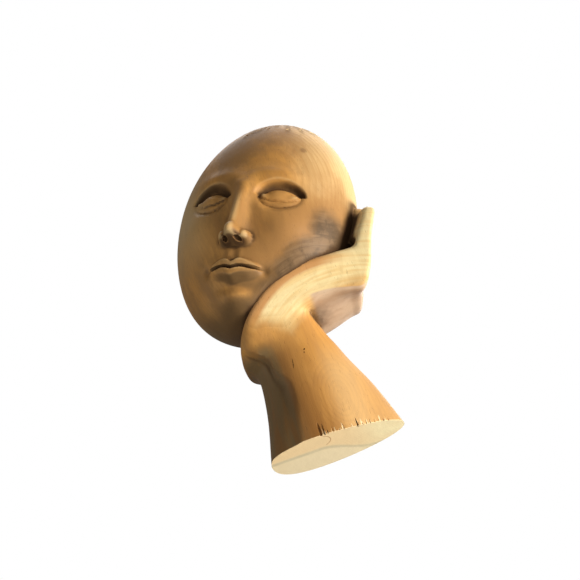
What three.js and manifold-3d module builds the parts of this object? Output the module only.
// A face that leans in an open hand, carved from one block of wood.
// Millimetres, +Z up. The origin is the middle of the sawn foot, X runs along the foot,
// and the face looks along -Y.
import * as THREE from 'three';
import { mergeVertices } from 'three/addons/utils/BufferGeometryUtils.js';
import Module from 'manifold-3d';

// The forearm, which is the foot of the carving
const FOOT_LENGTH = 100;
const FOOT_DEPTH = 60;
const WRIST_HEIGHT = 97;
const FLUTE_DEPTH = 7;

// The hand
const PALM_WIDTH = 72;
const FINGER_WIDTH = 18.5;
const FINGER_OVERLAP = 1.1;
const THUMB_WIDTH = 19;
const THUMB_THICKNESS = 15;
const HEEL_SWELL = 9;
const KNUCKLE_SLANT = 0.14;

// The head, an egg that leans to one side and turns a little the other way
const HEAD_HEIGHT = 202;
const HEAD_WIDTH = 150;
const HEAD_DEPTH = 112;
const HEAD_CENTRE_X = 2;
const HEAD_CENTRE_Z = 195.2;
const HEAD_LEAN = 24.5;
const HEAD_TURN = 10;

// How finely the faceted surfaces are divided. The head's rows run from the chin to the crown and
// its columns once round from the back, each as spans of [width in degrees, steps].
const RING_POINTS = 36;
const ARM_STEPS = 46;
const DIGIT_POINTS = 16;
const DIGIT_STEPS = 12;
const NOSTRIL_POINTS = 10;
const GRAIN = 0.02;
const HEAD_ROWS = [[30, 4], [22, 10], [13, 7], [39, 18], [76, 7]];
const HEAD_COLUMNS = [[118, 6], [22, 4], [80, 32], [22, 4], [118, 6]];

const wasm = await Module();
wasm.setup();

const radians = THREE.MathUtils.degToRad;

// 0 at one value and 1 at the other, eased at both ends; the first value may be the larger one
function ease(from, to, value) {
  return THREE.MathUtils.smoothstep((value - from) / (to - from), 0, 1);
}

// A bell of height 1 at 0 that has faded by about 2 widths
const bell = (distance, width) => Math.exp(-((distance / width) ** 2));

// A round dome of height 1 over the circle x^2 + y^2 = 1
const dome = (x, y) => Math.sqrt(Math.max(0, 1 - x ** 2 - y ** 2));

// Rows of numbers, one row for each station, joined by a smooth cubic; t counts the rows
function alongStations(rows) {
  const size = rows[0].length;
  const places = rows.map((row, i) => i);
  const curve = new THREE.CubicInterpolant(places, rows.flat(), size, new Float64Array(size));
  return (t) => Array.from(curve.evaluate(t));
}

// Angles in radians from first to last, shared out by spans of [width, steps]
function anglesFrom(first, last, spans) {
  const whole = spans.reduce((sum, [width]) => sum + width, 0);
  const angles = [first];
  for (const [width, steps] of spans) {
    const start = angles.at(-1);
    const span = ((last - first) * width) / whole;
    for (let step = 1; step <= steps; step += 1) angles.push(start + (span * step) / steps);
  }
  return angles;
}

// A closed skin over rings of equal size, with a fan on each end
function skinOver(rings) {
  const count = rings[0].length;
  const middleOf = (ring) => ring.reduce((sum, p) => sum.add(p), new THREE.Vector3()).divideScalar(count);
  const points = [...rings.flat(), middleOf(rings[0]), middleOf(rings.at(-1))];
  const firstMiddle = rings.length * count;
  const faces = [];
  for (let i = 0; i < count; i += 1) {
    const next = (i + 1) % count;
    faces.push([firstMiddle, next, i]);
    for (let ring = 0; ring < rings.length - 1; ring += 1) {
      const here = ring * count;
      const above = here + count;
      faces.push([here + i, here + next, above + next], [here + i, above + next, above + i]);
    }
    const last = firstMiddle - count;
    faces.push([firstMiddle + 1, last + i, last + next]);
  }
  const geometry = new THREE.BufferGeometry().setFromPoints(points);
  geometry.setIndex(faces.flat());
  return geometry;
}

// A geometry as a solid, turned outwards if its faces look in
function solidOf(geometry) {
  const bare = geometry.clone();
  bare.deleteAttribute('normal');
  bare.deleteAttribute('uv');
  const merged = mergeVertices(bare, 1e-3);
  const vertProperties = Float32Array.from(merged.attributes.position.array);
  const triVerts = Uint32Array.from(merged.index.array);
  const a = new THREE.Vector3();
  const b = new THREE.Vector3();
  const c = new THREE.Vector3();
  let volume = 0;
  for (let i = 0; i < triVerts.length; i += 3) {
    a.fromArray(vertProperties, triVerts[i] * 3);
    b.fromArray(vertProperties, triVerts[i + 1] * 3);
    c.fromArray(vertProperties, triVerts[i + 2] * 3);
    volume += a.dot(b.cross(c));
  }
  if (volume < 0) triVerts.reverse();
  return new wasm.Manifold(new wasm.Mesh({ numProp: 3, vertProperties, triVerts }));
}

// Forearm and hand: rungs that fan round the bend at the wrist, each from an inner edge, on the
// side of the head, to an outer edge. A row holds inner x and z, outer x and z, half the depth,
// the squareness of the inner and of the outer edge, how far the fullest place sits inwards, and
// the slope by which the hand wraps round the head behind its front edge. x is in shares of
// FOOT_LENGTH, z in shares of WRIST_HEIGHT and the depth in shares of PALM_WIDTH.
const footShare = FOOT_DEPTH / (2 * PALM_WIDTH);
const handRows = [
  [-0.503, 0.00, 0.510, 0.00, footShare, 2.0, 2.0, 0.30, 0],
  [-0.434, 0.34, 0.404, 0.35, 0.400, 2.0, 2.2, 0.24, 0],
  [-0.404, 0.61, 0.296, 0.61, 0.395, 2.2, 2.5, 0.17, 0],
  [-0.410, 0.72, 0.244, 0.75, 0.397, 2.4, 2.8, 0.13, 0],
  [-0.442, 0.765, 0.208, 0.83, 0.402, 2.6, 3.2, 0.09, 0],
  [-0.480, 0.80, 0.178, 0.91, 0.410, 2.9, 3.8, 0.06, 0],
  [-0.480, 0.88, 0.148, 0.99, 0.425, 3.6, 4.4, 0.03, 0],
  [-0.436, 1.00, 0.135, 1.035, 0.450, 5.0, 5.0, 0, 0],
  [-0.350, 1.11, 0.150, 1.05, 0.470, 6.5, 5.2, 0, 0],
  [-0.220, 1.215, 0.205, 1.055, 0.480, 7.5, 5.4, 0, 0.04],
  [-0.045, 1.310, 0.285, 1.05, 0.485, 8.0, 5.6, 0, 0.10],
  [0.180, 1.39, 0.380, 1.03, 0.490, 8.0, 5.6, 0, 0.20],
  [0.420, 1.41, 0.480, 0.995, 0.490, 8.0, 5.6, 0, 0.36],
  [0.560, 1.42, 0.582, 0.97, 0.490, 7.0, 5.4, 0, 0.49],
  [0.610, 1.43, 0.664, 1.08, 0.490, 6.0, 5.0, 0, 0.53],
  [0.637, 1.445, 0.724, 1.24, 0.490, 4.6, 4.2, 0, 0.52],
  [0.665, 1.485, 0.782, 1.40, 0.490, 3.6, 3.4, 0, 0.49],
  [0.735, 1.600, 0.848, 1.54, 0.480, 3.0, 3.0, 0, 0.45],
  [0.803, 1.710, 0.903, 1.66, 0.470, 3.0, 3.0, 0, 0.45],
  [0.870, 1.830, 0.960, 1.79, 0.460, 3.0, 3.0, 0, 0.45],
];
const handAt = alongStations(handRows);

// Places along the hand, counted in rungs
const LAST_RUNG = handRows.length - 1;
const PALM_END = LAST_RUNG - 4;
const LITTLE_TIP = LAST_RUNG - 0.65;
const KNUCKLES = PALM_END - 2.4;
const KNUCKLE_MIDDLE = PALM_END - 0.7;
const HEEL_MIDDLE = PALM_END - 5;

// The hollow under the heel of the hand. Its right flank runs down the forearm from the heel, crisp
// at the top and broad lower down, and the hollow fades towards the foot.
function heelHollow(x, z) {
  const across = x / FOOT_LENGTH;
  const up = z / WRIST_HEIGHT;
  const shelf = -0.3 + 0.04 * bell(up - 0.39, 0.2) - 0.15 * ease(0.68, 0.9, up) ** 1.5;
  const flank = 0.03 + 0.08 * ease(0.64, 0.48, up) * (0.5 + 0.5 * ease(-0.1, 0.17, up));
  const fade = 0.3 + 0.7 * ease(0.1, 0.62, up);
  const inside = ease(shelf + flank, shelf, across) * (0.35 + 0.65 * ease(-0.5, -0.36, across));
  return FLUTE_DEPTH * fade * inside * ease(0.9, 0.87, up);
}

// How far the hand has turned in at depth y: quickly behind its front edge, then flat along the
// cheek, then in again towards the back of the head
function wrapReach(y) {
  const back = y / PALM_WIDTH;
  const turnIn = 0.36 * Math.sin(0.5 * Math.PI * Math.min(1, Math.max(0, (back + 0.5) / 0.45)));
  return PALM_WIDTH * (turnIn + 0.25 * Math.max(0, (back - 0.06) / 0.44) ** 2);
}

// One closed section of the forearm or hand at station t, a superellipse |across|^n + |deep|^n = 1
// between the rung's two edges. shape gives its middle in y and half its depth, and may give its
// squareness n, how far it thickens inwards and how full it is. The heel swells forwards, and the
// back of the knuckles slants in.
function rungSection(t, points, shape) {
  const [innerX, innerZ, outerX, outerZ, , innerSquare, outerSquare, fullness, wrap] = handAt(t);
  const inner = new THREE.Vector3(innerX * FOOT_LENGTH, 0, Math.max(innerZ, 0) * WRIST_HEIGHT);
  const outer = new THREE.Vector3(outerX * FOOT_LENGTH, 0, Math.max(outerZ, 0) * WRIST_HEIGHT);
  const outwards = outer.clone().sub(inner).normalize();
  const { middle, halfDepth, squareness, inwards = 0, full = 1 } = shape;
  const ring = [];
  for (let i = 0; i < points; i += 1) {
    const angle = (2 * Math.PI * i) / points;
    const cos = Math.cos(angle);
    const sin = Math.sin(angle);
    const n = squareness ?? (cos < 0 ? innerSquare : outerSquare);
    const radius = (Math.abs(cos) ** n + Math.abs(sin) ** n) ** (-1 / n);
    const deep = sin * radius;
    const across = cos * radius * full - fullness * Math.abs(deep) ** n;
    const y = middle + deep * halfDepth * full;
    const share = (across + 1) / 2;
    const follow = Math.max(ease(PALM_END - 0.4, PALM_END + 1.4, t), share);
    const point = inner.clone().lerp(outer, share);
    point.addScaledVector(outwards, -wrap * follow * wrapReach(y) - inwards * (1 - across));
    point.x -= KNUCKLE_SLANT * bell(t - KNUCKLE_MIDDLE, 1.9) * share * (y + 0.5 * PALM_WIDTH);
    const hollow = deep < 0 ? heelHollow(point.x, point.z) * Math.min(1, -1.6 * deep) : 0;
    const swell = HEEL_SWELL * bell(t - HEEL_MIDDLE, 2) * (1 - share) * Math.max(0, -deep);
    point.y = y + hollow - swell;
    ring.push(point);
  }
  return ring;
}

const roundTip = (tip, t) => Math.sqrt(Math.max(0.01, 1 - ease(tip - 0.7, tip, t) ** 2));
const fingerDepth = (t) => 0.5 * FINGER_WIDTH * (1 - 0.06 * Math.max(0, t - PALM_END));

// Forearm, palm and little finger in one sweep. At the knuckles the back of the section draws in,
// and what goes on along the front edge is the little finger.
function armSolid() {
  const rings = [];
  for (let step = 0; step <= ARM_STEPS; step += 1) {
    const t = (LITTLE_TIP * step) / ARM_STEPS;
    const front = handAt(t)[4] * PALM_WIDTH;
    const halfDepth = THREE.MathUtils.lerp(front, fingerDepth(t), ease(PALM_END - 1.5, PALM_END, t));
    const full = roundTip(LITTLE_TIP, t);
    rings.push(rungSection(t, RING_POINTS, { middle: halfDepth - front, halfDepth, full }));
  }
  return solidOf(skinOver(rings));
}

// The three fingers behind the little finger rise out of the palm. A row holds the place across the
// palm in finger widths, how many rungs the tip stays short of the last one, and how far the
// finger thickens inwards.
const fingerRows = [
  [-0.5, 0, 5],
  [0.4, 0, 6],
  [1.3, 0.4, 6],
];

function fingerSolids() {
  return fingerRows.map(([across, short, inwards]) => {
    const tip = LAST_RUNG - short;
    const rings = [];
    for (let step = 0; step <= DIGIT_STEPS; step += 1) {
      const t = KNUCKLES + (tip - KNUCKLES) * Math.sin((0.5 * Math.PI * step) / DIGIT_STEPS);
      rings.push(rungSection(t, DIGIT_POINTS, {
        middle: across * FINGER_WIDTH,
        halfDepth: FINGER_OVERLAP * fingerDepth(t),
        squareness: 2.6,
        inwards,
        full: roundTip(tip, t) * (0.75 + 0.25 * ease(KNUCKLES, PALM_END - 0.6, t)),
      }));
    }
    return solidOf(skinOver(rings));
  });
}

// The thumb: an oval carried along a path, with a rounded tip
function digitSolid(path, broadWay, width, thickness) {
  const curve = new THREE.CatmullRomCurve3(path);
  const rings = [];
  for (let step = 0; step <= DIGIT_STEPS; step += 1) {
    const t = Math.sin((0.5 * Math.PI * step) / DIGIT_STEPS);
    const place = curve.getPointAt(t);
    const along = curve.getTangentAt(t);
    const broad = broadWay.clone().addScaledVector(along, -broadWay.dot(along)).normalize();
    const thin = new THREE.Vector3().crossVectors(along, broad);
    const tipSize = Math.sqrt(Math.max(0.02, 1 - ease(0.84, 1, t) ** 2));
    const ring = [];
    for (let i = 0; i < DIGIT_POINTS; i += 1) {
      const angle = (2 * Math.PI * i) / DIGIT_POINTS;
      const point = place.clone();
      point.addScaledVector(broad, 0.5 * width * (1 - 0.14 * t) * tipSize * Math.cos(angle));
      point.addScaledVector(thin, 0.5 * thickness * (1 - 0.2 * t) * tipSize * Math.sin(angle));
      ring.push(point);
    }
    rings.push(ring);
  }
  return solidOf(skinOver(rings));
}

// The head's own axes: to its right in the view, up to the crown and out of the face
const lean = radians(HEAD_LEAN);
const turn = radians(HEAD_TURN);
const sideways = new THREE.Vector3(Math.cos(lean), 0, -Math.sin(lean));
const forwards = new THREE.Vector3(0, -1, 0);
const headUp = new THREE.Vector3(Math.sin(lean), 0, Math.cos(lean));
const turnFrom = (axis, other, angle) => (
  axis.clone().multiplyScalar(Math.cos(angle)).addScaledVector(other, Math.sin(angle))
);
const headRight = turnFrom(sideways, forwards, turn);
const headFront = turnFrom(forwards, sideways, -turn);
const headCentre = new THREE.Vector3(HEAD_CENTRE_X, 0, HEAD_CENTRE_Z);

// The face stands out of the egg by this much, as a share of the head's height.
// x and y are shares too: x from the midline, y from the eye line, which is half-way up.
const EYE_WIDTH = 0.143;
const BROW = 0.078;
const NOSE_BASE = -0.211;
const MOUTH = -0.307;
const CHIN = -0.425;

// A ridge that rises from the brow to the tip between hollowed flanks, a rounded tip, and a round
// wing at each side, joined without an edge and cut off below by the nose's short under side
function noseHeight(x, y) {
  const along = THREE.MathUtils.clamp((BROW - y) / (BROW - NOSE_BASE), 0, 1);
  const half = 0.024 + 0.018 * along ** 1.6 + 0.03 * bell(along, 0.25);
  const flank = Math.exp(-((Math.abs(x) / half) ** 2.4));
  const root = 1 - ease(BROW - 0.03, BROW + 0.05, y);
  const under = ease(NOSE_BASE - 0.012, NOSE_BASE + 0.01, y);
  const ridge = (0.016 + 0.064 * along ** 1.15) * flank * root;
  const tip = 0.08 * dome(x / 0.036, (y - NOSE_BASE - 0.027) / 0.038);
  const wing = 0.05 * dome((Math.abs(x) - 0.042) / 0.025, (y - NOSE_BASE - 0.02) / 0.029);
  return (ridge ** 4 + tip ** 4 + wing ** 4) ** 0.25 * under;
}

// A rounded socket with a brow edge, and in it the dome of the closed eye
function eyeHeight(x, y) {
  const aside = Math.abs(x) - EYE_WIDTH;
  const up = y - 0.006;
  const rim = Math.hypot(aside / 0.098, up / (up > 0 ? 0.07 : 0.085));
  const socket = -0.034 * ease(1.1, up > 0 ? 0.55 : 0.3, rim);
  return socket + 0.036 * dome(aside / (0.53 * EYE_WIDTH), (y + 0.004) / 0.048) ** 1.5;
}

// Two full closed lips on a soft muzzle, with the corners and the place under them pressed in
function mouthHeight(x, y) {
  const half = 0.112;
  const wide = Math.max(0, 1 - (x / half) ** 2);
  const top = MOUTH + 0.036 * wide ** 0.7;
  const foot = MOUTH - 0.043 * wide ** 0.6;
  const upper = 0.022 * wide ** 0.6 * ease(top + 0.01, top - 0.012, y) * ease(MOUTH - 0.012, MOUTH, y);
  const lower = 0.027 * wide ** 0.8 * ease(foot - 0.012, foot + 0.016, y) * ease(MOUTH + 0.012, MOUTH, y);
  const line = -0.009 * Math.sqrt(wide) * bell(y - MOUTH, 0.006);
  const muzzle = 0.02 * bell(x, 0.12) * bell(y - MOUTH, 0.085);
  const corner = -0.01 * bell(Math.abs(x) - half - 0.004, 0.016) * bell(y - MOUTH, 0.018);
  const under = -0.011 * bell(x, 0.07) * bell(y - MOUTH + 0.068, 0.02);
  return Math.max(upper, lower) + line + muzzle + corner + under;
}

// Nose, eyes and mouth, with soft bells for the chin, the cheekbones and the brow
function faceHeight(x, y) {
  const chin = 0.045 * bell(x, 0.085) * bell(y - CHIN, 0.062);
  const cheek = 0.024 * bell(Math.abs(x) - 0.19, 0.085) * bell(y + 0.13, 0.09);
  const brow = 0.012 * bell(Math.abs(x) - 0.12, 0.1) * bell(y - BROW - 0.025, 0.035);
  return noseHeight(x, y) + eyeHeight(x, y) + mouthHeight(x, y) + chin + cheek + brow;
}

// The egg is a little blunter at the chin than at the crown
function headPoint(latitude, longitude) {
  const girth = Math.cos(latitude) ** (latitude < 0 ? 0.83 : 1);
  const x = 0.5 * HEAD_WIDTH * girth * Math.sin(longitude);
  const y = 0.5 * HEAD_HEIGHT * Math.sin(latitude);
  let z = 0.5 * HEAD_DEPTH * girth * Math.cos(longitude);
  if (z > 0) {
    const relief = faceHeight(x / HEAD_HEIGHT, y / HEAD_HEIGHT);
    z += HEAD_HEIGHT * relief * ease(0, 0.35, Math.cos(longitude));
  }
  const point = headCentre.clone();
  point.addScaledVector(headRight, x);
  point.addScaledVector(headUp, y);
  return point.addScaledVector(headFront, z);
}

function headSolid() {
  const columns = anglesFrom(-Math.PI, Math.PI, HEAD_COLUMNS).slice(1);
  const rows = anglesFrom(-0.5 * Math.PI, 0.5 * Math.PI, HEAD_ROWS).slice(1, -1);
  const rings = rows.map((latitude) => columns.map((longitude) => headPoint(latitude, longitude)));
  return solidOf(skinOver(rings));
}

// The two nostrils, small ellipsoids sunk into the under side of the nose, nearer together in front
function nostrilSolids() {
  return [-1, 1].map((side) => {
    const centre = headCentre.clone().addScaledVector(headRight, side * 0.0255 * HEAD_HEIGHT);
    centre.addScaledVector(headUp, (NOSE_BASE + 0.007) * HEAD_HEIGHT);
    centre.addScaledVector(headFront, 0.3 * HEAD_HEIGHT);
    const along = headFront.clone().multiplyScalar(0.92).addScaledVector(headRight, -0.39 * side);
    const aside = new THREE.Vector3().crossVectors(along, headUp);
    const axes = new THREE.Matrix4().makeBasis(
      aside.setLength(0.0115 * HEAD_HEIGHT),
      headUp.clone().setLength(0.024 * HEAD_HEIGHT),
      along.setLength(0.022 * HEAD_HEIGHT),
    );
    const ball = new THREE.SphereGeometry(1, NOSTRIL_POINTS, NOSTRIL_POINTS).applyMatrix4(axes);
    return solidOf(ball.translate(centre.x, centre.y, centre.z));
  });
}

// Thumb: on the side away from the view, along the back of the jaw
function thumbSolid() {
  const backOfHead = 0.5 * HEAD_DEPTH;
  const path = [
    new THREE.Vector3(0.16 * FOOT_LENGTH, 0.3 * PALM_WIDTH, 1.1 * WRIST_HEIGHT),
    new THREE.Vector3(0.02 * FOOT_LENGTH, 0.62 * backOfHead, 1.28 * WRIST_HEIGHT),
    new THREE.Vector3(-0.1 * FOOT_LENGTH, 0.82 * backOfHead, 1.5 * WRIST_HEIGHT),
    new THREE.Vector3(-0.16 * FOOT_LENGTH, 0.9 * backOfHead, 1.72 * WRIST_HEIGHT),
  ];
  return digitSolid(path, new THREE.Vector3(1, 0, 0), THUMB_WIDTH, THUMB_THICKNESS);
}

function geometryOf(solid) {
  const { numProp, vertProperties, triVerts } = solid.getMesh();
  const geometry = new THREE.BufferGeometry();
  geometry.setAttribute('position', new THREE.Float32BufferAttribute(vertProperties, numProp));
  geometry.setIndex(Array.from(triVerts));
  return geometry;
}

// Behind the fingers the joined forms close off a pocket of about 30 mm^3, and slivers smaller than
// a grain. The real block is solid there, so only the outer skin is kept.
function withoutBubbles(solid) {
  const bodies = solid.setTolerance(GRAIN).decompose();
  return bodies.reduce((largest, body) => (body.volume() > largest.volume() ? body : largest));
}

const satinWood = new THREE.MeshStandardMaterial({ color: 0xd9a765, roughness: 0.42, metalness: 0 });

let block = armSolid();
for (const form of [...fingerSolids(), thumbSolid(), headSolid()]) block = block.add(form);
for (const hole of nostrilSolids()) block = block.subtract(hole);

const carving = new THREE.Mesh(geometryOf(withoutBubbles(block)), satinWood);
carving.name = 'face_on_hand_carving';
carving.geometry.computeVertexNormals();

const sculpture = new THREE.Group();
sculpture.add(carving);

export default sculpture;
